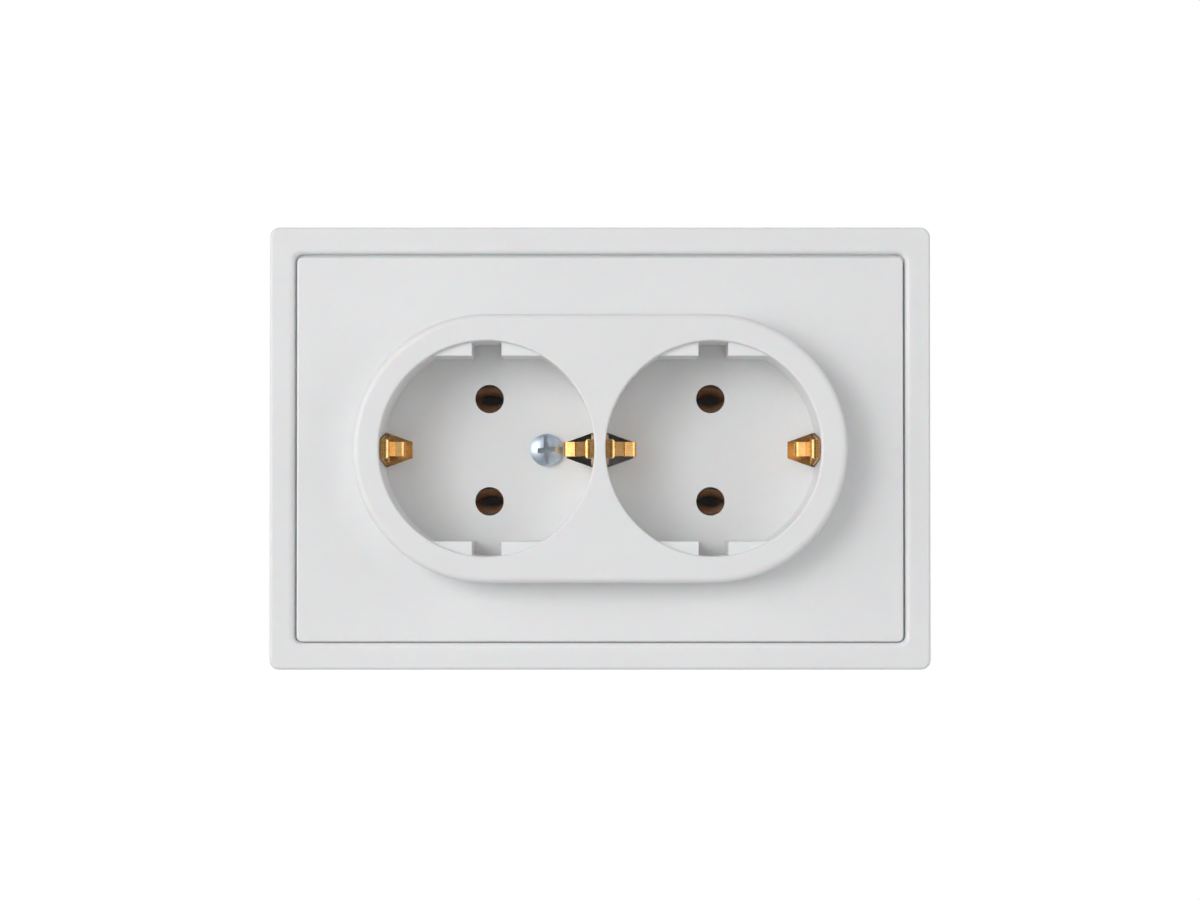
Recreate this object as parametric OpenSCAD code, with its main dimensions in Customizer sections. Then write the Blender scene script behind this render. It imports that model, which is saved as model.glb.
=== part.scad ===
// Double earthed wall socket for one round wall box, in millimetres.
// +Z is up, the front faces -Y, and the wall plane is Y = 0.
// The origin is the middle of the support plate's back, on the wall plane.

/* [Frame] */
// Width of the outer frame
frame_w = 121; // [118:0.5:150]
// Height of the outer frame
frame_h = 81; // [79:0.5:100]
// Depth of the frame from the wall to its front
frame_depth = 12; // [11:0.5:16]
// Radius of the frame's corners, seen from the front
frame_corner_r = 1.8; // [1:0.1:4]
// Radius of the frame's outer front edge
frame_edge_r = 0.6; // [0.3:0.1:0.9]
// Radius of the rolled edge inside the rim
rim_roll = 1.2; // [0.6:0.1:1.6]
// Width of the rim at the left and right
rim_side = 4.65; // [4:0.05:7]
// Width of the rim at the top and bottom
rim_top = 4.95; // [4:0.05:7]
// Thickness of the frame's outer walls
frame_wall = 2; // [1.4:0.1:2.4]
// How far the ledge reaches in under the panel
ledge_reach = 2.9; // [2:0.1:4]
// Thickness of the ledge
ledge_t = 1.5; // [1:0.1:2]
// Play that lets the frame sit a little high on the panel
frame_lift = 0.2; // [0:0.05:0.3]

/* [Cover] */
// Joint between the panel and the frame's rim
panel_gap = 0.35; // [0.32:0.01:0.6]
// Thickness of the panel
panel_t = 2; // [1.5:0.1:2.4]
// Radius of the panel's corners, seen from the front
panel_corner_r = 1; // [0.6:0.1:2]
// Radius of the panel's front edge
panel_edge_r = 0.4; // [0.2:0.1:0.5]
// Height of the collar above the panel
collar_h = 9; // [7:0.5:12]
// Radius of the collar's round ends
collar_r = 24.3; // [23.8:0.1:26]
// Radius of the collar's front edge
collar_edge_r = 1.3; // [0.6:0.1:1.7]
// Thickness of the collar's outer wall
collar_wall = 1.8; // [1.4:0.1:2]

/* [Wells] */
// Distance between the middles of the two wells
pitch = 41; // [40.6:0.1:44]
// Radius of the wells
well_r = 19.5; // [19.3:0.1:19.9]
// Depth of the wells from the collar's front to their floor
well_depth = 17.5; // [17:0.1:18]
// Thickness of the wells' walls
well_wall = 1.6; // [1.4:0.1:1.8]
// Thickness of the wells' floors
floor_t = 1.5; // [1.2:0.1:1.8]
// Radius of the mouth's edge
mouth_edge_r = 0.4; // [0.2:0.1:0.6]
// Distance of the guide flats from the well's middle
flat_offset = 16.8; // [16.5:0.1:17.4]
// Depth of the guide blocks behind the collar's front
flat_recess = 1.3; // [0.8:0.1:3]
// Width of the guide notches
notch_w = 5.4; // [4.8:0.1:6]
// Diameter of the pin holes
pin_hole_d = 5.3; // [5:0.1:6]
// Distance between the pins of one plug
pin_spacing = 19; // [19:0.1:19.4]

/* [Earth clips] */
// Thickness of the earthing brass
earth_t = 0.7; // [0.5:0.1:0.8]
// Width of a clip's tapered leg at its foot
clip_leg_w = 5.9; // [5.5:0.1:6.5]
// Width of a clip's crown, where the leg bends over
clip_crown_w = 3.4; // [3:0.1:4.4]
// Width of a clip's contact band
clip_band_w = 2.6; // [2:0.1:2.9]
// Radius of the bends in a clip
clip_bend_r = 0.55; // [0.5:0.05:0.6]
// Depth of a clip's crown behind the collar's front
clip_top_depth = 3.8; // [3:0.1:5]
// Run of the flat crown from the leg
clip_crown_run = 1.1; // [1.1:0.1:1.4]
// Run of the band's flatter stretch before the knee
clip_shoulder_run = 2; // [1.6:0.1:2.4]
// Rise of the band's flatter stretch
clip_shoulder_rise = 0.6; // [0.3:0.1:1]
// Run of the free end from the knee back to the leg
clip_tail_run = 2.2; // [1.5:0.1:2.4]
// Depth of the contact knee behind the collar's front
knee_depth = 8; // [7:0.1:9]
// Distance of the outer knees from the well's middle
outer_knee_r = 15.3; // [15:0.1:16.5]
// Distance of the inner knees from the well's middle
inner_knee_r = 14.1; // [14:0.1:15.5]
// Height of a clip's free end above the well's floor
clip_tail_h = 0.8; // [0.4:0.1:2]
// Distance of the floor opening's tip from the well's middle
opening_tip_r = 14.3; // [13.8:0.1:15]
// Width of the floor opening's tip
opening_tip_w = 3; // [3:0.1:4]
// Width of the strap
strap_w = 8; // [7:0.1:8.4]
// How deep a leg's back stands in its recess in the well's wall
leg_sink = 0.1; // [0:0.05:0.2]

/* [Support plate] */
// Thickness of the steel plate
plate_t = 1; // [0.8:0.1:1.5]
// Gap between the frame's wall and the plate's side edges
plate_side_gap = 8.5; // [3:0.5:12]
// Gap between the frame's wall and the plate's top and bottom edges
plate_top_gap = 2.8; // [1:0.1:3]
// Cut of the plate's corners
plate_corner = 6; // [2:0.5:10]
// Distance between the two box screws
box_screw_spacing = 60; // [59:0.1:61]
// Width of the slots for the box screws
box_slot_w = 4.2; // [3.6:0.1:4.6]
// Length of the slots for the box screws
box_slot_l = 8; // [6:0.1:8]

/* [Insulation] */
// Width of the insulating base
base_w = 54; // [53:0.5:56]
// Height of the insulating base
base_h = 30.8; // [30:0.1:31]
// Radius of the base's corners
base_corner_r = 6; // [3:0.1:7]
// Depth of the base behind the wall plane
base_depth = 20; // [19.5:0.1:24]
// Thickness of the contact retainer
retainer_t = 1.5; // [1.2:0.1:2]
// Depth of the hollow behind the inner clips
clip_hollow_depth = 8; // [6:0.5:9]
// Depth of the terminal blocks' front behind the wall plane
block_depth = 2.5; // [2:0.1:3]
// Wall round each pin guide
guide_wall = 2.2; // [1.2:0.1:2.4]

/* [Contacts] */
// Thickness of the contact brass
contact_t = 0.6; // [0.4:0.1:0.7]
// Width of a pin grip
grip_w = 5.4; // [4.8:0.1:5.6]
// Half of the height of a grip's outer legs
grip_half_h = 3.2; // [3.1:0.1:3.3]
// Depth of the grip's throat behind the wall plane
throat_depth = 7; // [6.5:0.1:8]
// Radius across the leaf's hollow
leaf_hollow_r = 4.4; // [4:0.1:5]
// Half of the throat's height in the middle of the leaf
throat_half = 0.9; // [0.8:0.05:1.1]
// Radius along the leaf's bow
leaf_bow_r = 8; // [7:0.1:9]
// Width of the bus bars
bus_w = 6.4; // [6:0.1:7]
// Diameter of the hole in a grip's web
web_hole_d = 4.2; // [3.4:0.1:4.4]

/* [Fasteners] */
// Distance of the cover screw from the left well's middle
cover_screw_off = 10.6; // [10:0.1:10.8]
// Diameter of the cover screw's head
cover_head_d = 6; // [5.4:0.1:6.2]
// Height of the cover screw's head
cover_head_h = 1.9; // [1.6:0.1:2.4]
// Diameter of the cover screw's shank
cover_screw_d = 3; // [2.8:0.1:3.2]
// Distance of the terminal screws from the middle
terminal_x = 13.5; // [13.3:0.1:13.7]
// Diameter of the terminal screws' shanks
terminal_screw_d = 3; // [2.8:0.1:3.2]
// Diameter of the earth terminal screw's shank
earth_screw_d = 3.5; // [3:0.1:3.8]
// Diameter of the base rivets' shanks
base_rivet_d = 3.5; // [3:0.1:3.5]

/* [Claws] */
// Distance between the base's edge and the claw hinges
claw_hinge_gap = 1.8; // [1.6:0.1:1.9]
// Depth of the claw hinges behind the wall plane
claw_hinge_depth = 7.5; // [7:0.1:8]
// Distance between a claw's hinge and its screw
claw_screw_off = 4; // [4:0.1:4.1]
// Diameter of the claw screws
claw_screw_d = 3.5; // [3.3:0.1:3.6]
// Distance between a claw's hinge and its arm
claw_reach = 8.2; // [8:0.1:8.4]
// How far the claw screws end in front of the base's back
claw_screw_short = 5; // [4.5:0.1:6]
// Width of a claw
claw_w = 11; // [10.6:0.1:11.2]
// Thickness of a claw
claw_t = 1.5; // [1.2:0.1:1.6]
// Gap between a claw's prongs
claw_fork_w = 5; // [4.6:0.1:5.4]
// How far a claw's trunnions stand out of the tabs
trunnion_out = 0.5; // [0.3:0.1:0.8]
// Radius of a claw's trunnions
trunnion_r = 1; // [0.9:0.05:1.1]

/* [Clearances] */
// Seat gap between pieces that are held together
seat = 0.3; // [0.25:0.01:0.35]
// Gap round a turning shaft
running = 0.05; // [0.03:0.01:0.08]
// Gap round a piece in its pocket
pocket = 0.2; // [0.15:0.01:0.3]

/* [Hidden] */
$fn = 64;
bend_steps = 8;
// A cut goes this far past a face
past = 1;
// A face that would be flush is sunk by this much into the piece it joins
merge = 0.2;

// Every piece is drawn with z as the height over the wall plane, towards the room
opening_w = frame_w - 2 * rim_side;
opening_h = frame_h - 2 * rim_top;
opening_corner_r = panel_corner_r + panel_gap;
panel_w = opening_w - 2 * panel_gap;
panel_h = opening_h - 2 * panel_gap;
panel_back = frame_depth - panel_t;
front = frame_depth + collar_h;
floor_z = front - well_depth;
floor_back = floor_z - floor_t;
well_x = pitch / 2;
tube_r = well_r + well_wall;
collar_hollow_r = collar_r - collar_wall;
collar_skin = 2;

// The strap lies on the plate, the seat gap behind the wells' floors
strap_z = floor_back - seat - earth_t;
plate_front = strap_z;
plate_back = plate_front - plate_t;
strap_top = strap_z + earth_t;
leg_r = well_r + leg_sink - earth_t / 2;
clip_top = front - clip_top_depth;
knee_z = front - knee_depth;
slot_w = clip_leg_w + 2 * pocket;
slot_top = clip_top + 0.8;
window_x = 7.5;
window_y = slot_w / 2 + seat;
hollow_w = 2 * (window_x - 1.5);
cross_x = window_x + 1.5;
cross_y = 8.6;
ear_w = 6;
ear_rivet_y = 6.4;
ear_rivet_r = 1.2;
strap_rivet_x = base_w / 2 + 3;
tongue_x = window_x + earth_t / 2;
tongue_end_x = -5.5;
tongue_bend_r = 1.2;

plate_w = frame_w - 2 * frame_wall - 2 * plate_side_gap;
plate_h = frame_h - 2 * frame_wall - 2 * plate_top_gap;

retainer_back = plate_back - retainer_t;
base_back = plate_back - base_depth;
pin_y = pin_spacing / 2;
guide_r = pin_hole_d / 2 + 0.15;
guide_outer_r = guide_r + guide_wall;
throat_z = plate_back - throat_depth;
grip_knee_drop = 5.5;
web_z = base_back + 4;
bus_y = pin_y + grip_half_h;
bus_x = well_x + grip_w / 2;
bus_z = web_z + bus_w / 2 - contact_t / 2;
lead_angle = 36;
leaf_tail_angle = 22;

terminal_z = bus_z;
terminal_block_w = 8.6;
terminal_head_r = 2.8;
terminal_head_h = 1.8;
clamp_t = 1;
clamp_w = 6.4;
clamp_y = bus_y + contact_t / 2 + seat;
terminal_head_y = clamp_y + clamp_t + seat;
block_top = terminal_head_y + terminal_head_h + 1;
rivet_x = 11.5;
rivet_head_h = 0.7;

cover_screw_x = -well_x + cover_screw_off;
nut_w = 6;
nut_t = 2.4;
nut_z = plate_back - pocket - nut_t;
earth_screw_z = base_back - earth_t - seat - 1.2;
earth_clamp_w = 7.4;

claw_hinge_y = base_h / 2 + claw_hinge_gap;
claw_screw_y = claw_hinge_y + claw_screw_off;
claw_z = plate_back - claw_hinge_depth;
barrel_r = 1.5;
claw_arm_y = claw_hinge_y + claw_reach;
claw_hole_in = claw_screw_y - claw_screw_d / 2 - 0.25;
claw_hole_out = claw_screw_y + claw_screw_d / 2 + 0.85;
tab_t = 1;
tab_x = claw_w / 2 + 0.5 + tab_t / 2;
tab_in = claw_hinge_y - 1.5;
tab_out = claw_hinge_y + 1.9;
tab_window_w = claw_hinge_depth - 1.5;

WHITE = "whitesmoke";
BRASS = "goldenrod";
COPPER = "peru";
ZINC = "lightsteelblue";
STEEL = "silver";
GREY = "gainsboro";

function unit(v) = v / norm(v);
function left_of(v) = [-v.y, v.x];
function turned(v, a) = [v.x * cos(a) - v.y * sin(a), v.x * sin(a) + v.y * cos(a)];
function angle_between(u, v) = atan2(u.x * v.y - u.y * v.x, u * v);

// The arc round one corner of a path, at the distance s to the left of it
function corner_arc(p, i, r, s) =
    let (u = unit(p[i] - p[i - 1]))
    let (a = angle_between(u, unit(p[i + 1] - p[i])))
    let (middle = p[i] - u * r * tan(abs(a) / 2) + left_of(u) * r * sign(a))
    let (start = -left_of(u) * sign(a))
    [for (k = [0 : bend_steps]) middle + turned(start, a * k / bend_steps) * (r - s * sign(a))];

// One side of a strip that follows a path, at the distance s to the left of it
function strip_side(p, r, s) = concat(
    [p[0] + left_of(unit(p[1] - p[0])) * s],
    [for (i = [1 : len(p) - 2]) each corner_arc(p, i, r, s)],
    [p[len(p) - 1] + left_of(unit(p[len(p) - 1] - p[len(p) - 2])) * s]);

function reversed(list) = [for (i = [len(list) - 1 : -1 : 0]) list[i]];

// The edge-on outline of a sheet of thickness t that is bent with the radius r along a path
module bent_strip(path, r, t) {
    polygon(concat(strip_side(path, r, t / 2), reversed(strip_side(path, r, -t / 2))));
}

// Turns a piece drawn in front of the wall plane so that it faces the room
module facing_room() {
    rotate([90, 0, 0]) children();
}

// Gives a profile in x and z its width along y
module across_y(w) {
    rotate([90, 0, 0]) linear_extrude(w, center = true) children();
}

// Gives a profile in y and z its width along x
module across_x(w) {
    rotate([90, 0, 90]) linear_extrude(w, center = true) children();
}

module both_x() {
    children();
    mirror([1, 0, 0]) children();
}

module both_y() {
    children();
    mirror([0, 1, 0]) children();
}

module at_wells() {
    for (side = [-1, 1]) translate([side * well_x, 0, 0]) children();
}

module at_pins() {
    at_wells() for (side = [-1, 1]) translate([0, side * pin_y, 0]) children();
}

// A block between two heights
module layer(z0, z1) {
    translate([0, 0, z0]) linear_extrude(z1 - z0) children();
}

// A round bar between two heights
module post(r, z0, z1) {
    translate([0, 0, z0]) cylinder(r = r, h = z1 - z0);
}

module rounded_rect(w, h, r) {
    square([w - 2 * r, h], center = true);
    square([w, h - 2 * r], center = true);
    for (x = [-1, 1], y = [-1, 1]) translate([x * (w / 2 - r), y * (h / 2 - r)]) circle(r);
}

// The outline of both wells' round ends and the straight sides between them
module stadium(r) {
    square([pitch, 2 * r], center = true);
    at_wells() circle(r);
}

// A quarter turn of a round bead at each corner of a rectangle, with straight beads between
module bead(w, h, corner_r, r) {
    for (side = [0, 1]) rotate([0, 0, side * 180]) {
        translate([w / 2 - corner_r, h / 2 - corner_r, 0])
            rotate_extrude(angle = 90) translate([corner_r, 0]) circle(r);
        translate([corner_r - w / 2, h / 2 - corner_r, 0])
            rotate([0, 0, 90]) rotate_extrude(angle = 90) translate([corner_r, 0]) circle(r);
        translate([0, h / 2, 0]) rotate([0, 90, 0]) cylinder(r = r, h = w - 2 * corner_r, center = true);
        translate([w / 2, 0, 0]) rotate([90, 0, 0]) cylinder(r = r, h = h - 2 * corner_r, center = true);
    }
}

// A plate whose front edge is rounded with the radius edge_r
module soft_plate(w, h, corner_r, edge_r, z0, z1) {
    layer(z0, z1 - edge_r) rounded_rect(w, h, corner_r);
    layer(z0, z1) rounded_rect(w - 2 * edge_r, h - 2 * edge_r, corner_r - edge_r);
    translate([0, 0, z1 - edge_r])
        bead(w - 2 * edge_r, h - 2 * edge_r, corner_r - edge_r, edge_r);
}

module outer_frame() {
    outside = opening_corner_r + rim_roll;
    roll_w = opening_w + 2 * rim_roll;
    roll_h = opening_h + 2 * rim_roll;
    inner_w = frame_w - 2 * frame_wall;
    inner_h = frame_h - 2 * frame_wall;
    ledge_z = panel_back - ledge_t;
    color(WHITE) facing_room() translate([0, frame_lift, 0]) {
        difference() {
            soft_plate(frame_w, frame_h, frame_corner_r, frame_edge_r, plate_back, frame_depth);
            layer(frame_depth - rim_roll, frame_depth + past) rounded_rect(roll_w, roll_h, outside);
            layer(panel_back, frame_depth) rounded_rect(opening_w, opening_h, opening_corner_r);
            layer(plate_back - past, frame_depth)
                rounded_rect(opening_w - 2 * ledge_reach, opening_h - 2 * ledge_reach, opening_corner_r);
            layer(plate_back - past, ledge_z) square([inner_w, inner_h], center = true);
        }
        difference() {
            translate([0, 0, frame_depth - rim_roll]) bead(roll_w, roll_h, outside, rim_roll);
            layer(plate_back, frame_depth - rim_roll) square([frame_w, frame_h], center = true);
        }
        frame_ribs(inner_w, inner_h, ledge_z);
    }
}

// Ribs inside the frame that stiffen the ledge
module frame_ribs(inner_w, inner_h, ledge_z) {
    rib_t = 1.2;
    rib_run = 2.4;
    both_x() for (y = [-0.3, 0, 0.3] * inner_h)
        translate([inner_w / 2, y, 0]) frame_rib(rib_run, rib_t, ledge_z);
    both_y() for (x = [-0.36, -0.12, 0.12, 0.36] * inner_w)
        translate([x, inner_h / 2, 0]) rotate([0, 0, 90]) frame_rib(rib_run, rib_t, ledge_z);
}

module frame_rib(run, t, ledge_z) {
    across_y(t) polygon([[merge, ledge_z - 4], [merge, ledge_z + merge], [-run, ledge_z + merge],
        [-run, ledge_z - 1]]);
}

module socket_cover() {
    color(WHITE) facing_room() {
        difference() {
            cover_shell();
            at_wells() well_bore();
            at_pins() post(pin_hole_d / 2, floor_back - past, floor_z + past);
            translate([cover_screw_x, 0, 0])
                post(cover_screw_d / 2 + pocket, floor_back - past, floor_z + past);
            both_x() {
                translate([well_x, 0, 0]) clip_openings();
                translate([well_x, 0, 0]) mirror([1, 0, 0]) clip_openings();
            }
        }
        at_wells() both_y() guide_blocks();
        locating_rim();
    }
}

// The panel, the collar and the wells' tubes, still without their bores
module cover_shell() {
    difference() {
        union() {
            soft_plate(panel_w, panel_h, panel_corner_r, panel_edge_r, panel_back, frame_depth);
            collar();
        }
        layer(panel_back - past, front - collar_skin) stadium(collar_hollow_r);
    }
    at_wells() post(tube_r, floor_back, front - collar_skin + merge);
}

// The raised collar: two round ends and the straight run between them
module collar() {
    at_wells() rotate_extrude() collar_section();
    across_x(pitch) both_x() collar_section();
}

// Half of the collar's section, with its rounded front edge
module collar_section() {
    rise = front - panel_back;
    translate([0, panel_back]) {
        square([collar_r, rise - collar_edge_r]);
        square([collar_r - collar_edge_r, rise]);
        translate([collar_r - collar_edge_r, rise - collar_edge_r]) circle(collar_edge_r);
    }
}

// A well's bore, flared at the mouth to leave a rounded edge
module well_bore() {
    rotate_extrude() {
        translate([0, floor_z]) square([well_r, front + past - floor_z]);
        difference() {
            translate([0, front - mouth_edge_r]) square([well_r + mouth_edge_r, mouth_edge_r + past]);
            translate([well_r + mouth_edge_r, front - mouth_edge_r]) circle(mouth_edge_r);
        }
    }
}

// The blocks that guide a plug's flats, with the notch between them
module guide_blocks() {
    difference() {
        layer(floor_z - merge, front - flat_recess) intersection() {
            circle(well_r + merge);
            translate([-tube_r, flat_offset]) square([2 * tube_r, tube_r]);
        }
        layer(floor_z, front) square([notch_w, 2 * well_r], center = true);
    }
}

// The tapered recess in a well's wall and the opening in its floor, for the clip on the +x side
module clip_openings() {
    tip = opening_tip_w / 2;
    foot = slot_w / 2;
    top = clip_crown_w / 2 + pocket;
    leg_in = leg_r - earth_t / 2;
    leg_out = leg_r + earth_t / 2 + pocket;
    layer(floor_back - past, floor_z + past / 2) polygon([[opening_tip_r, tip], [leg_in, foot],
        [leg_out, foot], [leg_out, -foot], [leg_in, -foot], [opening_tip_r, -tip]]);
    intersection() {
        across_x(4 * tube_r) polygon([[foot, floor_z], [foot, floor_z + past], [top, slot_top],
            [-top, slot_top], [-foot, floor_z + past], [-foot, floor_z]]);
        layer(floor_z, front) translate([leg_in, -foot]) square([leg_out - leg_in, 2 * foot]);
    }
}

// A low rim behind the panel that centres it in the frame's ledge
module locating_rim() {
    rim_gap = 0.4 + frame_lift;
    rim_t = 1.2;
    w = opening_w - 2 * ledge_reach - 2 * rim_gap;
    h = opening_h - 2 * ledge_reach - 2 * rim_gap;
    layer(panel_back - ledge_t, panel_back + merge) difference() {
        rounded_rect(w, h, rim_t);
        square([w - 2 * rim_t, h - 2 * rim_t], center = true);
    }
}

// A pan head with its underside at z = 0
module pan_head(r, h) {
    crown = h * 0.45;
    dome_r = (r * r + crown * crown) / (2 * crown);
    intersection() {
        cylinder(r = r, h = h);
        translate([0, 0, h - dome_r]) sphere(r = dome_r, $fn = 96);
    }
}

// The combined slot and cross recess in a screw head of radius r, cut down from z = 0
module cross_recess(r, depth) {
    wing = 0.55 * r;
    slot = 0.22 * r;
    layer(-depth, past) {
        square([2 * wing, slot * 1.3], center = true);
        square([slot * 1.3, 2 * wing], center = true);
    }
    layer(-0.6 * depth, past) square([slot, 3 * r], center = true);
}

module cover_screw() {
    head_r = cover_head_d / 2;
    color(ZINC) facing_room() translate([cover_screw_x, 0, 0]) rotate([0, 0, 5]) {
        difference() {
            translate([0, 0, floor_z]) pan_head(head_r, cover_head_h);
            translate([0, 0, floor_z + cover_head_h]) cross_recess(head_r, 1.1);
        }
        post(cover_screw_d / 2, nut_z - 2, floor_z + merge);
    }
}

module cover_nut() {
    color(STEEL) facing_room() translate([cover_screw_x, 0, 0]) difference() {
        layer(nut_z, nut_z + nut_t) square(nut_w, center = true);
        post(cover_screw_d / 2 + running, nut_z - past, nut_z + nut_t + past);
    }
}

module support_plate() {
    half_w = plate_w / 2;
    half_h = plate_h / 2;
    color(STEEL) facing_room() {
        difference() {
            layer(plate_back, plate_front) difference() {
                polygon([[half_w, half_h - plate_corner], [half_w - plate_corner, half_h],
                    [plate_corner - half_w, half_h], [-half_w, half_h - plate_corner],
                    [-half_w, plate_corner - half_h], [plate_corner - half_w, -half_h],
                    [half_w - plate_corner, -half_h], [half_w, plate_corner - half_h]]);
                centre_opening();
                at_pins() circle(guide_outer_r + pocket);
                translate([cover_screw_x, 0]) circle(cover_screw_d / 2 + pocket);
                both_y() plate_slots();
            }
            strap_rivets(pocket / 4);
            base_rivet_shanks(running);
        }
        both_x() both_y() claw_tab();
    }
}

// The opening behind the inner clips and the earth tongue
module centre_opening() {
    right = tongue_x + earth_t / 2 + tongue_bend_r;
    translate([-window_x - seat, -strap_w / 2 - seat])
        square([window_x + seat + right, strap_w + 2 * seat]);
    square([ear_w + 2 * seat, 2 * (cross_y + seat)], center = true);
}

// The box-screw slot, the claw screw's hole and the windows left by the bent tabs
module plate_slots() {
    run = box_slot_l - box_slot_w;
    translate([0, box_screw_spacing / 2]) {
        square([box_slot_w, run], center = true);
        for (side = [-1, 1]) translate([0, side * run / 2]) circle(box_slot_w / 2);
    }
    translate([0, claw_screw_y]) circle(claw_screw_d / 2 + running);
    both_x() translate([tab_x + tab_t / 2, tab_in]) square([tab_window_w, tab_out - tab_in]);
}

// A tab bent back from the plate, with the hole for a claw's trunnion
module claw_tab() {
    translate([tab_x, 0, 0]) difference() {
        union() {
            across_x(tab_t) translate([tab_in, claw_z])
                square([tab_out - tab_in, plate_back - claw_z + merge]);
            translate([0, claw_hinge_y, claw_z]) rotate([0, 90, 0])
                cylinder(r = (tab_out - tab_in) / 2, h = tab_t, center = true);
        }
        translate([0, claw_hinge_y, claw_z]) rotate([0, 90, 0])
            cylinder(r = trunnion_r + running, h = tab_t + 2 * past, center = true);
    }
}

// One earthing clip with a tapered leg, a crown and a bowed band, with x as the distance from
// the well's middle
module earth_clip(knee_r, foot) {
    crown_z = clip_top - earth_t / 2;
    shoulder = [knee_r + clip_shoulder_run, knee_z + clip_shoulder_rise];
    tail = [knee_r + clip_tail_run, floor_z + clip_tail_h];
    neck = leg_r - clip_crown_run;
    leg = clip_leg_w / 2;
    crown = clip_crown_w / 2;
    band = clip_band_w / 2;
    path = concat(foot, [[leg_r, crown_z], [neck, crown_z], shoulder, [knee_r, knee_z], tail]);
    intersection() {
        across_y(clip_leg_w) bent_strip(path, clip_bend_r, earth_t);
        layer(plate_back, front) polygon([[0, band], [neck - 0.4, band], [neck, crown], [neck, leg],
            [tube_r, leg], [tube_r, -leg], [neck, -leg], [neck, -crown], [neck - 0.4, -band], [0, -band]]);
        across_x(4 * tube_r) polygon([[leg, plate_back], [leg, floor_z], [crown, clip_top],
            [-crown, clip_top], [-leg, floor_z], [-leg, plate_back]]);
    }
}

module earth_strap() {
    mid = strap_z + earth_t / 2;
    flat_end = leg_r - clip_bend_r - 0.1;
    color(BRASS) facing_room() {
        difference() {
            layer(strap_z, strap_top) {
                square([2 * (well_x + flat_end), strap_w], center = true);
                square([2 * cross_x, 2 * cross_y], center = true);
            }
            layer(strap_z - past, strap_top + past) {
                square([2 * window_x, 2 * window_y], center = true);
                translate([cover_screw_x, 0]) circle(cover_screw_d / 2 + pocket);
            }
            strap_rivets(0);
        }
        earth_tongue(mid);
        both_x() translate([well_x, 0, 0])
            earth_clip(outer_knee_r, [[flat_end - strap_w / 4, mid], [leg_r, mid]]);
    }
}

// The tongue that is folded back from the strap's window to the earth terminal
module earth_tongue(mid) {
    back = base_back - earth_t / 2;
    difference() {
        across_y(strap_w - 2 * pocket) bent_strip([[cross_x - merge, mid], [tongue_x, mid],
            [tongue_x, back], [tongue_end_x, back]], tongue_bend_r, earth_t);
        post(earth_screw_d / 2 + running, base_back - earth_t - past, base_back + past);
    }
}

module centre_earth_clip() {
    ear_top = strap_z;
    ear_z = ear_top - earth_t;
    web_w = 2 * (well_x - leg_r) + earth_t;
    color(BRASS) facing_room() {
        both_x() translate([well_x, 0, 0]) mirror([1, 0, 0]) earth_clip(inner_knee_r, [[leg_r, ear_z]]);
        difference() {
            layer(ear_z, ear_top) {
                both_y() translate([-ear_w / 2, window_y + seat])
                    square([ear_w, cross_y - window_y - seat]);
                square([web_w, 2 * (window_y + 2 * seat)], center = true);
            }
            both_y() translate([0, ear_rivet_y, 0]) post(ear_rivet_r, ear_z - past, ear_top + past);
        }
    }
}

// The rivets that join the strap to the plate and to the centre clip
module strap_rivets(gap) {
    both_x() translate([strap_rivet_x, 0, 0]) post(ear_rivet_r + gap, plate_back, strap_top);
    both_y() translate([0, ear_rivet_y, 0]) post(ear_rivet_r + gap, strap_z - earth_t, strap_top);
}

module earth_rivets() {
    tail_h = 0.25;
    color(BRASS) facing_room() {
        strap_rivets(0);
        both_x() translate([strap_rivet_x, 0, 0]) post(2 * ear_rivet_r, plate_back - tail_h, plate_back);
        both_y() translate([0, ear_rivet_y, 0])
            post(1.3 * ear_rivet_r, strap_z - earth_t - tail_h, strap_z - earth_t);
    }
}

// The outline shared by the base and the retainer
module base_outline() {
    rounded_rect(base_w, base_h, base_corner_r);
}

module terminal_blocks() {
    both_x() both_y() translate([terminal_x - terminal_block_w / 2, 0])
        square([terminal_block_w, block_top]);
}

// The slots and holes that go through both insulating pieces
module passages(z0, z1) {
    layer(z0, z1) translate([tongue_x, 0]) square([earth_t + 2 * pocket, strap_w], center = true);
    base_rivet_shanks(running);
    translate([cover_screw_x, 0, 0]) {
        layer(nut_z - pocket, z1) square(nut_w + 2 * pocket, center = true);
        post(cover_screw_d / 2 + pocket, nut_z - 3, z1);
    }
}

module base_rivet_shanks(gap) {
    both_x() both_y() translate([rivet_x, pin_y, 0])
        post(base_rivet_d / 2 + gap, base_back - past, plate_front);
}

module contact_retainer() {
    guide_top = floor_back - pocket;
    color(GREY) facing_room() difference() {
        union() {
            layer(retainer_back, plate_back) base_outline();
            at_pins() post(guide_outer_r, plate_back - merge, guide_top);
        }
        passages(retainer_back - past, plate_back + past);
        at_pins() post(guide_r, retainer_back - past, guide_top + past);
        layer(retainer_back - past, plate_back + past) square([hollow_w, 2 * window_y], center = true);
    }
}

module contact_base() {
    color(GREY) facing_room() difference() {
        union() {
            layer(base_back, retainer_back) base_outline();
            layer(base_back, plate_back - block_depth) terminal_blocks();
        }
        passages(base_back - past, retainer_back + past);
        layer(retainer_back - clip_hollow_depth, retainer_back + past)
            square([hollow_w, 2 * window_y], center = true);
        both_y() contact_chamber();
        both_x() both_y() terminal_chamber();
        post(earth_screw_d / 2 + pocket, base_back - past, base_back + earth_screw_d);
        layer(base_back - past, base_back + tongue_bend_r)
            translate([tongue_x - tongue_bend_r, 0]) square([2 * tongue_bend_r, strap_w], center = true);
    }
}

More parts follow.
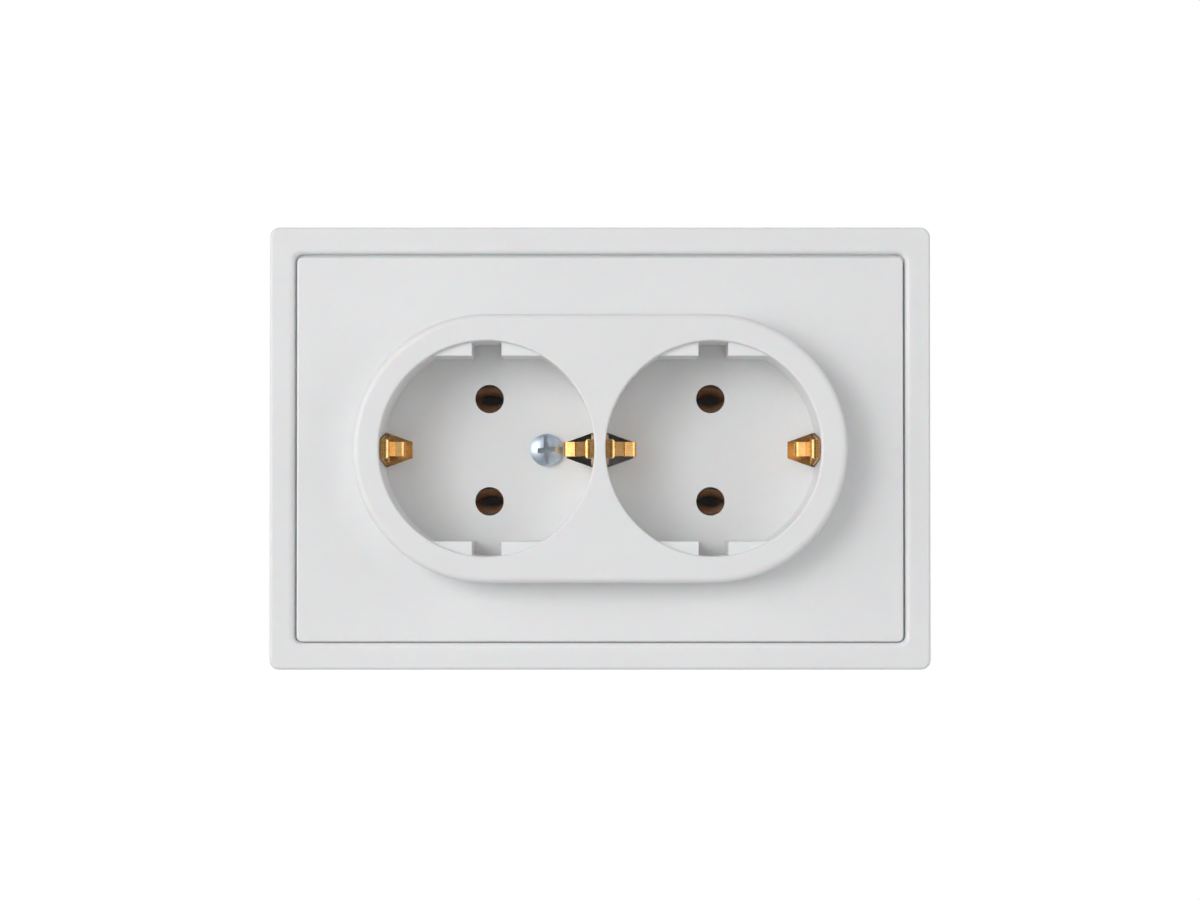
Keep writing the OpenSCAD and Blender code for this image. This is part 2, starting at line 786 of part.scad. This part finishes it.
// Room for one bus bar and its two grips
module contact_chamber() {
    bottom = web_z - contact_t / 2 - pocket;
    grip_out = grip_half_h + contact_t / 2 + pocket;
    at_wells() layer(bottom, retainer_back + past) translate([0, pin_y])
        square([grip_w + 2 * pocket, 2 * grip_out], center = true);
    layer(bottom, retainer_back + past) translate([0, bus_y])
        square([2 * (bus_x + pocket), contact_t + 2 * pocket], center = true);
}

// Room for one terminal's clamp plate and screw, and its two wire holes
module terminal_chamber() {
    room_w = clamp_w + 2 * pocket;
    wire_r = 1.3;
    low = bus_y - contact_t / 2 - 1.2;
    high = terminal_head_y;
    translate([terminal_x, 0, terminal_z]) {
        translate([-room_w / 2, low, -room_w / 2]) cube([room_w, high - low, room_w]);
        translate([0, high - merge, 0]) rotate([-90, 0, 0]) cylinder(r = terminal_head_r + seat, h = base_h / 2);
    }
    for (side = [-1, 1]) translate([terminal_x + side * 1.8, clamp_y + 0.6, 0])
        post(wire_r, base_back - past, terminal_z);
}

module base_rivets() {
    head_r = 2.4;
    color(STEEL) facing_room() both_x() both_y() translate([rivet_x, pin_y, 0]) {
        post(base_rivet_d / 2, base_back, plate_front);
        post(head_r, plate_front, plate_front + rivet_head_h);
        post(head_r, base_back - rivet_head_h, base_back);
    }
}

// One leaf of a pin grip, hollowed across and bowed along, over a pin axis at y = 0
module grip_leaf() {
    axis_y = leaf_bow_r;
    hollow_y = axis_y - throat_half + leaf_hollow_r;
    translate([0, axis_y, throat_z]) rotate([0, 90, 0]) rotate([0, 0, -90 - lead_angle])
        rotate_extrude(angle = lead_angle + leaf_tail_angle) intersection() {
            translate([hollow_y, 0]) difference() {
                circle(leaf_hollow_r + contact_t);
                circle(leaf_hollow_r);
            }
            translate([0, -grip_w / 2]) square([axis_y - contact_t / 10, grip_w]);
        }
}

// A pin grip: two leaves on a folded strip whose web has a hole for the pin's tip
module pin_grip() {
    knee = throat_z - grip_knee_drop;
    start = throat_z - 2.2;
    both_y() grip_leaf();
    difference() {
        across_x(grip_w) bent_strip([[1.45, start], [grip_half_h, knee], [grip_half_h, web_z],
            [-grip_half_h, web_z], [-grip_half_h, knee], [-1.45, start]], 0.9, contact_t);
        post(web_hole_d / 2, web_z - past, web_z + past);
    }
}

// A bus bar with its two grips, on the +y side
module contact() {
    difference() {
        union() {
            at_wells() translate([0, pin_y, 0]) pin_grip();
            translate([0, bus_y, bus_z]) cube([2 * bus_x, contact_t, bus_w], center = true);
        }
        both_x() translate([terminal_x, bus_y - past, terminal_z]) rotate([-90, 0, 0])
            cylinder(r = terminal_screw_d / 2 + running, h = 2 * past);
    }
}

module line_contact() {
    color(COPPER) facing_room() contact();
}

module neutral_contact() {
    color(COPPER) facing_room() mirror([0, 1, 0]) contact();
}

// Two terminal screws, with their heads away from the middle
module terminal_screws() {
    shank = terminal_head_y - bus_y + contact_t / 2 + 1;
    both_x() translate([terminal_x, terminal_head_y, terminal_z]) rotate([-90, 0, 0]) {
        difference() {
            pan_head(terminal_head_r, terminal_head_h);
            translate([0, 0, terminal_head_h]) cross_recess(terminal_head_r, 1);
        }
        translate([0, 0, -shank]) cylinder(r = terminal_screw_d / 2, h = shank + merge);
    }
}

module line_terminal_screws() {
    color(ZINC) facing_room() terminal_screws();
}

module neutral_terminal_screws() {
    color(ZINC) facing_room() mirror([0, 1, 0]) terminal_screws();
}

// Two square plates that press the wires on a bus bar
module clamp_plates() {
    both_x() translate([terminal_x, clamp_y, terminal_z]) difference() {
        translate([-clamp_w / 2, 0, -clamp_w / 2]) cube([clamp_w, clamp_t, clamp_w]);
        rotate([-90, 0, 0]) translate([0, 0, -past])
            cylinder(r = terminal_screw_d / 2 + pocket, h = clamp_t + 2 * past);
    }
}

module line_clamp_plates() {
    color(STEEL) facing_room() clamp_plates();
}

module neutral_clamp_plates() {
    color(STEEL) facing_room() mirror([0, 1, 0]) clamp_plates();
}

module earth_terminal_screw() {
    head_r = 3;
    color(ZINC) facing_room() translate([0, 0, earth_screw_z - seat]) mirror([0, 0, 1]) {
        difference() {
            pan_head(head_r, 2);
            translate([0, 0, 2]) cross_recess(head_r, 1.1);
        }
        post(earth_screw_d / 2, earth_screw_z - seat - base_back - 3.5, merge);
    }
}

module earth_clamp_plate() {
    color(STEEL) facing_room() layer(earth_screw_z, base_back - earth_t - seat) difference() {
        square(earth_clamp_w, center = true);
        circle(earth_screw_d / 2 + pocket);
    }
}

// A claw, drawn on the +y side: a barrel with two trunnions, a foot and a forked arm
module claw() {
    hinge = [0, claw_hinge_y, claw_z];
    arm_end = base_back + 1.6;
    difference() {
        union() {
            across_x(claw_w) bent_strip([[claw_hinge_y, claw_z], [claw_arm_y, claw_z],
                [claw_arm_y + 0.5, arm_end], [claw_arm_y + 3.2, arm_end - 1.4]], 1.6, claw_t);
            translate(hinge) rotate([0, 90, 0]) cylinder(r = barrel_r, h = claw_w, center = true);
        }
        layer(claw_z - claw_t, claw_z + claw_t) claw_hole();
        translate([-claw_fork_w / 2, claw_hinge_y, base_back - 5])
            cube([claw_fork_w, claw_arm_y, claw_z - base_back]);
    }
    translate(hinge) rotate([0, 90, 0])
        cylinder(r = trunnion_r, h = 2 * (tab_x + tab_t / 2 + trunnion_out), center = true);
}

// The long hole that lets a claw tilt on its screw
module claw_hole() {
    r = claw_screw_d / 2 + 2 * pocket;
    translate([-r, claw_hole_in + r]) square([2 * r, claw_hole_out - claw_hole_in - 2 * r]);
    for (y = [claw_hole_in + r, claw_hole_out - r]) translate([0, y]) circle(r);
}

module upper_claw() {
    color(STEEL) facing_room() claw();
}

module lower_claw() {
    color(STEEL) facing_room() mirror([0, 1, 0]) claw();
}

// A claw screw on the +y side, with its head on the plate
module claw_screw() {
    head_r = 3.1;
    head_h = 1.9;
    translate([0, claw_screw_y, 0]) {
        difference() {
            translate([0, 0, plate_front + running]) pan_head(head_r, head_h);
            translate([0, 0, plate_front + running + head_h]) cross_recess(head_r, 1.1);
        }
        post(claw_screw_d / 2, base_back + claw_screw_short, plate_front + running + merge);
    }
}

module upper_claw_screw() {
    color(ZINC) facing_room() claw_screw();
}

module lower_claw_screw() {
    color(ZINC) facing_room() mirror([0, 1, 0]) claw_screw();
}

outer_frame();
socket_cover();
cover_screw();
cover_nut();
support_plate();
earth_strap();
centre_earth_clip();
earth_rivets();
contact_retainer();
contact_base();
base_rivets();
line_contact();
neutral_contact();
line_terminal_screws();
neutral_terminal_screws();
line_clamp_plates();
neutral_clamp_plates();
earth_terminal_screw();
earth_clamp_plate();
upper_claw();
lower_claw();
upper_claw_screw();
lower_claw_screw();
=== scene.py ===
"""Looks, light and camera for the double wall socket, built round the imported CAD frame, in metres."""

import math

import bpy
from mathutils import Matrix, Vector


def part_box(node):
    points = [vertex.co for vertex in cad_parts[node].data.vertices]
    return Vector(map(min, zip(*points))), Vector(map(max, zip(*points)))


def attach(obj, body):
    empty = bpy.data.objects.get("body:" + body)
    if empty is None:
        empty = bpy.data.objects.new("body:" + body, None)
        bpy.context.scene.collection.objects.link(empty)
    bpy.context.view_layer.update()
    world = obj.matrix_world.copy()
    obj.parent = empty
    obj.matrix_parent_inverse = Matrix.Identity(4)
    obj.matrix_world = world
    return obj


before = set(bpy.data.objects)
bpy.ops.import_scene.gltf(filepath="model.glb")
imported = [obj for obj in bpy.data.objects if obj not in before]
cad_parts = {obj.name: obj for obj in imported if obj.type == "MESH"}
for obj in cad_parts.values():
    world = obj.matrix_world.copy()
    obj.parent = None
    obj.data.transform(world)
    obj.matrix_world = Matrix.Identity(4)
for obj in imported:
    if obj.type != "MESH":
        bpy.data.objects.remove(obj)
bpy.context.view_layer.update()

MM = 0.001

# Where the photograph was taken from, and its angle of view
CAMERA_FROM_WALL = 611 * MM
CAMERA_BELOW_AXIS = 11 * MM
CAMERA_TILT = math.radians(1.04)
LENS = 98.2
SENSOR_W = 36

# The studio: a pale floor well below the part, soft lamps and a dark room behind the camera
FLOOR_Z = -170 * MM
FLOOR_SIZE = 1.5
FLOOR_BACK = 300 * MM
FLOOR_WHITE_SHARE = 0.7
ROOM_CARD_SIZE = 0.9
ROOM_CARD_DISTANCE = 0.9
AMBIENT = 0.08

# The thread of the claw screws, a ridge round their 3.5 mm shanks
THREAD_R = 1.75 * MM
THREAD_PITCH = 0.6 * MM
THREAD_ROOT = 0.12 * MM
THREAD_CREST = 0.08 * MM
THREAD_STEPS = 24

# The material slots of the record, and the CAD nodes that take each finish
FINISHES = {
    "white_plastic": ["outer_frame", "socket_cover"],
    "grey_plastic": ["contact_base", "contact_retainer"],
    "brass": ["earth_strap", "centre_earth_clip", "earth_rivets"],
    "contact_brass": ["line_contact", "neutral_contact"],
    "zinc_steel": ["cover_screw", "line_terminal_screws", "neutral_terminal_screws",
                   "earth_terminal_screw", "upper_claw_screw", "lower_claw_screw"],
    "steel": ["support_plate", "base_rivets", "cover_nut", "line_clamp_plates",
              "neutral_clamp_plates", "earth_clamp_plate", "upper_claw", "lower_claw"],
}


class Shader:
    """A node material with one Principled shader and a few short ways to add to it."""

    def __init__(self, name, **sockets):
        self.material = bpy.data.materials.new(name)
        self.material.use_nodes = True
        self.tree = self.material.node_tree
        self.surface = self.tree.nodes["Principled BSDF"]
        for socket, value in sockets.items():
            self.surface.inputs[socket.replace("_", " ")].default_value = value
        self.place = self.add("ShaderNodeTexCoord").outputs["Object"]

    def add(self, kind, **settings):
        made = self.tree.nodes.new(kind)
        for name, value in settings.items():
            setattr(made, name, value)
        return made

    def link(self, source, target):
        self.tree.links.new(source, target)

    def stretched(self, scale):
        """The place on the object in metres, multiplied by a scale for each axis."""
        mapping = self.add("ShaderNodeMapping")
        mapping.inputs["Scale"].default_value = scale
        self.link(self.place, mapping.inputs["Vector"])
        return mapping.outputs["Vector"]

    def noise(self, scale, detail=2.0, rough=0.5):
        """Noise with about that many spots a metre along each axis."""
        made = self.add("ShaderNodeTexNoise")
        made.inputs["Scale"].default_value = 1.0
        made.inputs["Detail"].default_value = detail
        made.inputs["Roughness"].default_value = rough
        self.link(self.stretched(scale), made.inputs["Vector"])
        return made.outputs["Fac"]

    def ranged(self, source, low, high, start=0.3, end=0.7):
        """The source from start to end, spread over low to high."""
        made = self.add("ShaderNodeMapRange")
        made.inputs["From Min"].default_value = start
        made.inputs["From Max"].default_value = end
        made.inputs["To Min"].default_value = low
        made.inputs["To Max"].default_value = high
        self.link(source, made.inputs["Value"])
        return made.outputs["Result"]

    def colours(self, source, stops):
        """A colour ramp over the source; stops are (position, colour)."""
        ramp = self.add("ShaderNodeValToRGB")
        elements = ramp.color_ramp.elements
        while len(elements) < len(stops):
            elements.new(0.5)
        for element, (position, colour) in zip(elements, stops):
            element.position = position
            element.color = (*colour, 1)
        self.link(source, ramp.inputs["Fac"])
        return ramp.outputs["Color"]

    def bump(self, heights):
        """Adds bumps; heights are (source, depth in metres, strength)."""
        normal = None
        for source, depth, strength in heights:
            made = self.add("ShaderNodeBump")
            made.inputs["Distance"].default_value = depth
            made.inputs["Strength"].default_value = strength
            self.link(source, made.inputs["Height"])
            if normal is not None:
                self.link(normal, made.inputs["Normal"])
            normal = made.outputs["Normal"]
        self.link(normal, self.surface.inputs["Normal"])

    def finish(self, colour, roughness):
        self.link(colour, self.surface.inputs["Base Color"])
        self.link(roughness, self.surface.inputs["Roughness"])
        return self.material


def white_plastic():
    """Moulded white plastic: a soft gloss, faint flow marks and a very fine grain."""
    shader = Shader("white_plastic", IOR=1.5, Subsurface_Weight=0.35, Subsurface_Scale=0.8 * MM)
    flow = shader.noise((40, 40, 90), detail=3)
    patches = shader.noise((260, 260, 260), detail=4)
    grain = shader.noise((5200, 5200, 5200), detail=2)
    shader.bump([(flow, 0.05 * MM, 0.25), (grain, 0.01 * MM, 0.2)])
    colour = shader.colours(flow, [(0.3, (0.83, 0.835, 0.84)), (0.7, (0.85, 0.855, 0.86))])
    return shader.finish(colour, shader.ranged(patches, 0.3, 0.4))


def grey_plastic():
    """Filled thermoset for the insulating pieces: matt, speckled and slightly uneven."""
    shader = Shader("grey_plastic", IOR=1.5)
    speckle = shader.noise((2600, 2600, 2600), detail=3, rough=0.7)
    clouds = shader.noise((120, 120, 120), detail=3)
    shader.bump([(clouds, 0.1 * MM, 0.2), (speckle, 0.03 * MM, 0.4)])
    colour = shader.colours(speckle, [(0.25, (0.42, 0.43, 0.44)), (0.5, (0.56, 0.57, 0.58)),
                                      (0.8, (0.66, 0.66, 0.66))])
    return shader.finish(colour, shader.ranged(clouds, 0.45, 0.62))


def rolled_brass(name, metal, light, dark, stain, stretch, low, high):
    """Brass strip: fine rolling lines along it and a thin uneven tarnish."""
    shader = Shader(name, Metallic=metal)
    lines = shader.noise(stretch, detail=4, rough=0.65)
    tarnish = shader.noise((420, 420, 420), detail=5, rough=0.6)
    shader.bump([(lines, 0.012 * MM, 0.5), (tarnish, 0.01 * MM, 0.3)])
    colour = shader.colours(tarnish, [(0.3, light), (0.55, dark), (0.8, stain)])
    return shader.finish(colour, shader.ranged(lines, low, high))


def zinc_steel():
    """Bright zinc plating with a bluish passivation, finely turned and slightly mottled."""
    shader = Shader("zinc_steel", Metallic=1.0)
    mottle = shader.noise((900, 900, 900), detail=4, rough=0.6)
    turned = shader.noise((2200, 500, 2200), detail=3)
    shader.bump([(turned, 0.015 * MM, 0.5), (mottle, 0.01 * MM, 0.4)])
    colour = shader.colours(mottle, [(0.3, (0.48, 0.56, 0.66)), (0.55, (0.6, 0.67, 0.76)),
                                     (0.8, (0.68, 0.71, 0.7))])
    return shader.finish(colour, shader.ranged(mottle, 0.3, 0.42))


def steel():
    """Zinc-plated sheet steel: soft spangle and rolling lines."""
    shader = Shader("steel", Metallic=1.0)
    spangle = shader.noise((240, 240, 240), detail=5, rough=0.6)
    lines = shader.noise((90, 90, 2600), detail=4, rough=0.6)
    shader.bump([(lines, 0.012 * MM, 0.4), (spangle, 0.02 * MM, 0.3)])
    colour = shader.colours(spangle, [(0.3, (0.52, 0.54, 0.56)), (0.55, (0.62, 0.63, 0.64)),
                                      (0.8, (0.69, 0.69, 0.66))])
    return shader.finish(colour, shader.ranged(lines, 0.32, 0.48))


def dress_nodes():
    brass = rolled_brass("brass", 1.0, (0.74, 0.47, 0.19), (0.64, 0.37, 0.13), (0.46, 0.23, 0.07),
                         (160, 2600, 2600), 0.2, 0.32)
    # The contacts' brass is a paler, only partly metallic copy of the strap brass: painted light, lightened
    # so that the leaves deep in the dim pin holes still show tan.
    contact_brass = rolled_brass("contact_brass", 0.6, (0.92, 0.7, 0.5), (0.84, 0.56, 0.36),
                                 (0.66, 0.38, 0.22), (2600, 160, 2600), 0.34, 0.5)
    made = {"white_plastic": white_plastic(), "grey_plastic": grey_plastic(), "brass": brass,
            "contact_brass": contact_brass, "zinc_steel": zinc_steel(), "steel": steel()}
    for finish, names in FINISHES.items():
        for name in names:
            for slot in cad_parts[name].material_slots:
                slot.material = made[finish]


def thread_ridge(screw):
    """The mesh of the helical ridge on a claw screw's shank, from behind the plate to its tip."""
    low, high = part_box(screw)
    middle_x = (low[0] + high[0]) / 2
    middle_z = (low[2] + high[2]) / 2
    start = THREAD_PITCH
    turns = (high[1] - THREAD_PITCH / 2 - start) / THREAD_PITCH
    steps = int(turns * THREAD_STEPS)
    section = [(-THREAD_ROOT, -0.35 * THREAD_PITCH), (THREAD_CREST, 0), (-THREAD_ROOT, 0.35 * THREAD_PITCH)]
    points = []
    for step in range(steps + 1):
        angle = 2 * math.pi * step / THREAD_STEPS
        along = start + THREAD_PITCH * step / THREAD_STEPS
        for out, shift in section:
            radius = THREAD_R + out
            points.append((middle_x + radius * math.cos(angle), along + shift,
                           middle_z + radius * math.sin(angle)))
    faces = [(0, 1, 2), (3 * steps + 2, 3 * steps + 1, 3 * steps)]
    for step in range(steps):
        for side in range(3):
            first = 3 * step + side
            second = 3 * step + (side + 1) % 3
            faces.append((first, first + 3, second + 3, second))
    mesh = bpy.data.meshes.new(screw + "_thread")
    mesh.from_pydata(points, [], faces)
    return mesh


def add_threads():
    for screw in ("upper_claw_screw", "lower_claw_screw"):
        ridge = bpy.data.objects.new(screw + "_thread", thread_ridge(screw))
        ridge.data.materials.append(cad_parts[screw].material_slots[0].material)
        bpy.context.scene.collection.objects.link(ridge)
        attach(ridge, screw)


def add_camera():
    data = bpy.data.cameras.new("photo_camera")
    data.lens = LENS
    data.sensor_width = SENSOR_W
    data.clip_start = 10 * MM
    camera = bpy.data.objects.new("photo_camera", data)
    camera.location = (0, -CAMERA_FROM_WALL, -CAMERA_BELOW_AXIS)
    camera.rotation_euler = (math.pi / 2 + CAMERA_TILT, 0, 0)
    bpy.context.scene.collection.objects.link(camera)
    bpy.context.scene.camera = camera


def add_lamp(name, place, size, power, mirrored=False):
    """A square soft lamp that looks at the part, and that the metal mirrors only if told to."""
    data = bpy.data.lights.new(name, "AREA")
    data.shape = "SQUARE"
    data.size = size
    data.energy = power
    lamp = bpy.data.objects.new(name, data)
    lamp.location = place
    lamp.rotation_euler = (-Vector(place)).to_track_quat("-Z", "Y").to_euler()
    lamp.visible_glossy = mirrored
    bpy.context.scene.collection.objects.link(lamp)


def add_lamps():
    add_lamp("key", (-0.87, -0.78, 0.25), 0.85, 4.55, mirrored=True)
    add_lamp("front_key", (-0.63, -1.1, 0.25), 0.6, 4.85)
    add_lamp("graze", (-1.25, -0.32, 0.15), 0.5, 0.9, mirrored=True)
    add_lamp("front_fill", (0, -1.3, 0.2), 0.7, 1.85)
    add_lamp("right_fill", (0.8, -0.5, 0.2), 0.7, 2.4, mirrored=True)
    add_lamp("overhead", (0, 0.55, 1.2), 1.0, 4.0)
    add_lamp("back_fill", (0.3, 0.9, 0.5), 0.8, 5.0)


def flat_sheet(name, corners, colour, glow=None):
    """A flat staged sheet with a plain matt finish, or one that glows faintly."""
    mesh = bpy.data.meshes.new(name)
    mesh.from_pydata(corners, [], [(0, 1, 2, 3)])
    sheet = bpy.data.objects.new(name, mesh)
    bpy.context.scene.collection.objects.link(sheet)
    material = bpy.data.materials.new(name)
    material.use_nodes = True
    surface = material.node_tree.nodes["Principled BSDF"]
    surface.inputs["Base Color"].default_value = (*colour, 1)
    surface.inputs["Roughness"].default_value = 0.9
    if glow is not None:
        surface.inputs["Emission Color"].default_value = (*glow, 1)
        surface.inputs["Emission Strength"].default_value = 1.0
    mesh.materials.append(material)
    return sheet


def add_floor():
    """A pale floor that the camera sees partly as plain white, so that it keeps a soft shadow."""
    half = FLOOR_SIZE / 2
    floor = flat_sheet("studio_floor", [(x, y, FLOOR_Z) for x, y in
                                ((-half, FLOOR_BACK - FLOOR_SIZE), (half, FLOOR_BACK - FLOOR_SIZE),
                                 (half, FLOOR_BACK), (-half, FLOOR_BACK))], (0.6, 0.6, 0.6))
    tree = floor.active_material.node_tree
    white = tree.nodes.new("ShaderNodeEmission")
    path = tree.nodes.new("ShaderNodeLightPath")
    share = tree.nodes.new("ShaderNodeMath")
    share.operation = "MULTIPLY"
    share.inputs[1].default_value = FLOOR_WHITE_SHARE
    mix = tree.nodes.new("ShaderNodeMixShader")
    tree.links.new(path.outputs["Is Camera Ray"], share.inputs[0])
    tree.links.new(share.outputs["Value"], mix.inputs["Fac"])
    tree.links.new(tree.nodes["Principled BSDF"].outputs["BSDF"], mix.inputs[1])
    tree.links.new(white.outputs["Emission"], mix.inputs[2])
    tree.links.new(mix.outputs["Shader"], tree.nodes["Material Output"].inputs["Surface"])


def add_room_card():
    """The dim room behind the camera, which the metal mirrors but the camera never sees."""
    half = ROOM_CARD_SIZE / 2
    card = flat_sheet("dim_room", [(x, -ROOM_CARD_DISTANCE, z) for x, z in
                                   ((-half, -half), (half, -half), (half, half), (-half, half))],
                      (0.03, 0.03, 0.03), glow=(0.19, 0.195, 0.2))
    card.visible_camera = False
    card.visible_shadow = False
    card.visible_diffuse = False


def set_world():
    """A soft grey ambient light, seen as white by the camera and in reflections."""
    world = bpy.data.worlds.new("studio")
    bpy.context.scene.world = world
    world.use_nodes = True
    tree = world.node_tree
    background = tree.nodes["Background"]
    background.inputs["Color"].default_value = (1, 1, 1, 1)
    path = tree.nodes.new("ShaderNodeLightPath")
    seen = path.outputs["Is Camera Ray"]
    for ray in ("Is Glossy Ray", "Is Transmission Ray"):
        both = tree.nodes.new("ShaderNodeMath")
        both.operation = "MAXIMUM"
        tree.links.new(seen, both.inputs[0])
        tree.links.new(path.outputs[ray], both.inputs[1])
        seen = both.outputs["Value"]
    strength = tree.nodes.new("ShaderNodeMapRange")
    strength.inputs["To Min"].default_value = AMBIENT
    strength.inputs["To Max"].default_value = 1.0
    tree.links.new(seen, strength.inputs["Value"])
    tree.links.new(strength.outputs["Result"], background.inputs["Strength"])
    bpy.context.scene.view_settings.view_transform = "Standard"


add_camera()
dress_nodes()
add_threads()
add_lamps()
add_floor()
add_room_card()
set_world()
